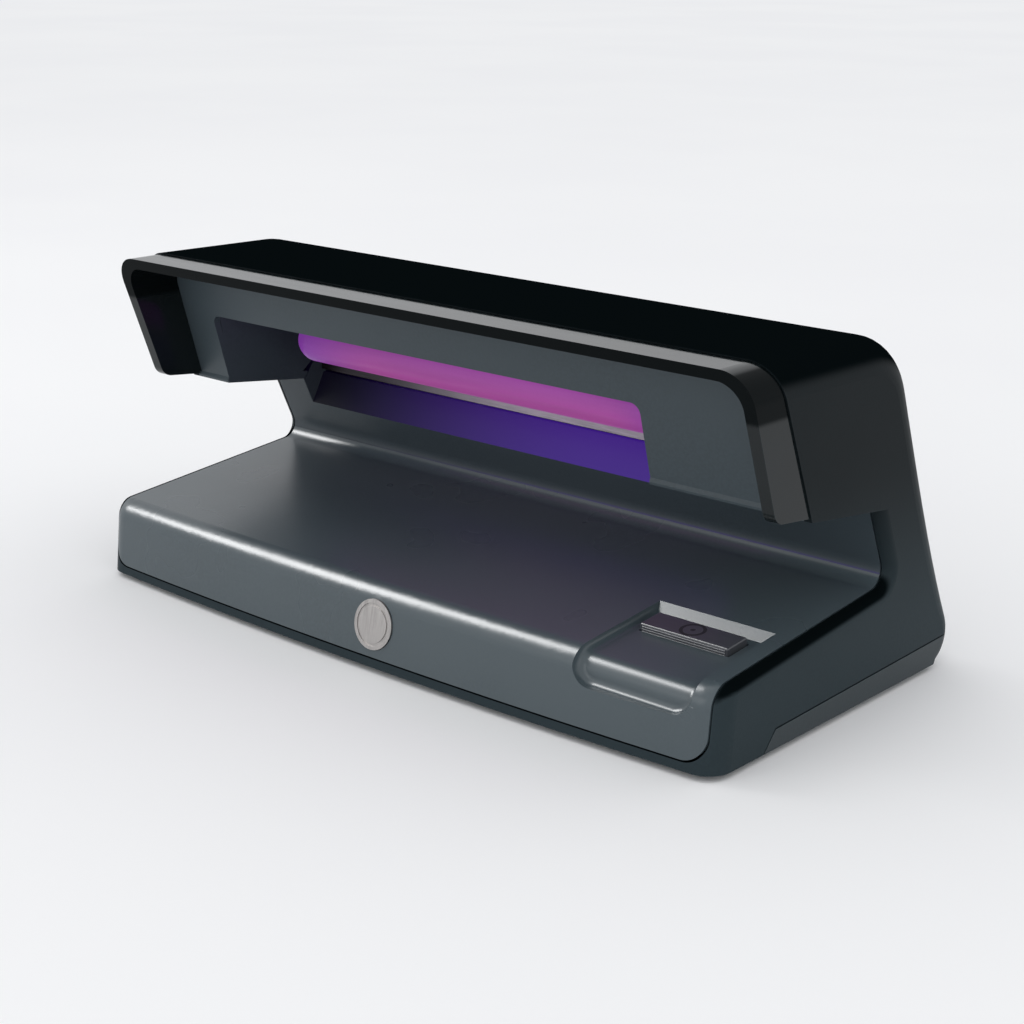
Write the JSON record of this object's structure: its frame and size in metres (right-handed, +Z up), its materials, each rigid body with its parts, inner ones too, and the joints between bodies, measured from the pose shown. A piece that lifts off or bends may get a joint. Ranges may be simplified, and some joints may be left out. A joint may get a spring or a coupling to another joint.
{
  "type": "counterfeit bill detector",
  "caption": "Desk-top banknote checker: C-shaped casing with a sloping tray under a hooded ultraviolet lamp, a push button beside the tray and a barrel power inlet behind.",
  "frame": {"origin": "centre of the casing's plan, on the surface that its feet stand on", "axes": "+X along the width, to the user's right; -Y towards the user; +Z up"},
  "size_m": [0.206, 0.102, 0.088],
  "materials": {
    "housing_plastic": "fine satin texture",
    "visor_plastic": "satin outside, polished edge",
    "panel_plastic": "satin",
    "fascia_plastic": "graphite satin",
    "badge_metal": "satin plate",
    "button_plastic": "satin",
    "symbol_paint": "painted",
    "spring_steel": "bright",
    "black_nylon": "moulded",
    "circuit_board": "solder mask",
    "screw_steel": "zinc plated",
    "lamp_glass": "violet glass tube",
    "cap_plastic": "moulded white",
    "contact_brass": "plated",
    "socket_plastic": "moulded white",
    "reflector_aluminium": "satin sheet",
    "foot_rubber": "matte",
    "label_film": "printed film with no text",
    "ferrite": "sintered",
    "winding_tape": "tape",
    "capacitor_sleeve": "shrunk sleeve",
    "capacitor_box": "box film capacitor",
    "black_epoxy": "moulded epoxy",
    "fuse_glass": "clear tube",
    "wire_sleeve": "insulated lead"
  },
  "bodies": {
    "casing": {"upper_housing": "housing_plastic", "visor_frame": "visor_plastic", "lamp_panel": "panel_plastic", "back_liner": "panel_plastic", "tray_fascia": "fascia_plastic", "front_badge": "badge_metal", "button_springs": "spring_steel", "push_switch": "black_nylon", "switch_board": "circuit_board", "switch_board_screws": "screw_steel", "lamp_socket": "socket_plastic", "socket_contacts": "contact_brass", "lamp_clip": "spring_steel", "reflector": "reflector_aluminium", "reflector_screws": "screw_steel", "base_cover": "housing_plastic", "rubber_feet": "foot_rubber", "casing_screws": "screw_steel", "fascia_screws": "screw_steel", "rating_label": "label_film", "main_board": "circuit_board", "transformer_core": "ferrite", "transformer_winding": "winding_tape", "electrolytic_capacitors": "capacitor_sleeve", "film_capacitors": "capacitor_box", "power_transistors": "black_epoxy", "fuse": "fuse_glass", "fuse_clips": "contact_brass", "board_headers": "cap_plastic", "driver_chip": "black_epoxy", "board_screws": "screw_steel", "power_inlet": "black_nylon", "inlet_pin": "contact_brass", "lamp_wires": "wire_sleeve", "switch_wires": "wire_sleeve"},
    "button": {"power_button": "button_plastic", "button_symbol": "symbol_paint", "switch_plunger": "black_nylon"},
    "lamp": {"uv_lamp_glass": "lamp_glass", "lamp_cap": "cap_plastic", "lamp_contact_pins": "contact_brass"}
  },
  "joints": [
    {"name": "button_press", "type": "slide", "parent": "casing", "child": "button", "axis": [0, 0.1028, -0.9947], "range_m": [0, 0.001], "stiffness_N_per_m": 500, "springref_m": -0.0006, "deforming": ["button_springs"]},
    {"name": "lamp_pull", "type": "slide", "parent": "casing", "child": "lamp", "axis": [-1, 0, 0], "range_m": [0, 0.0065]}
  ]
}
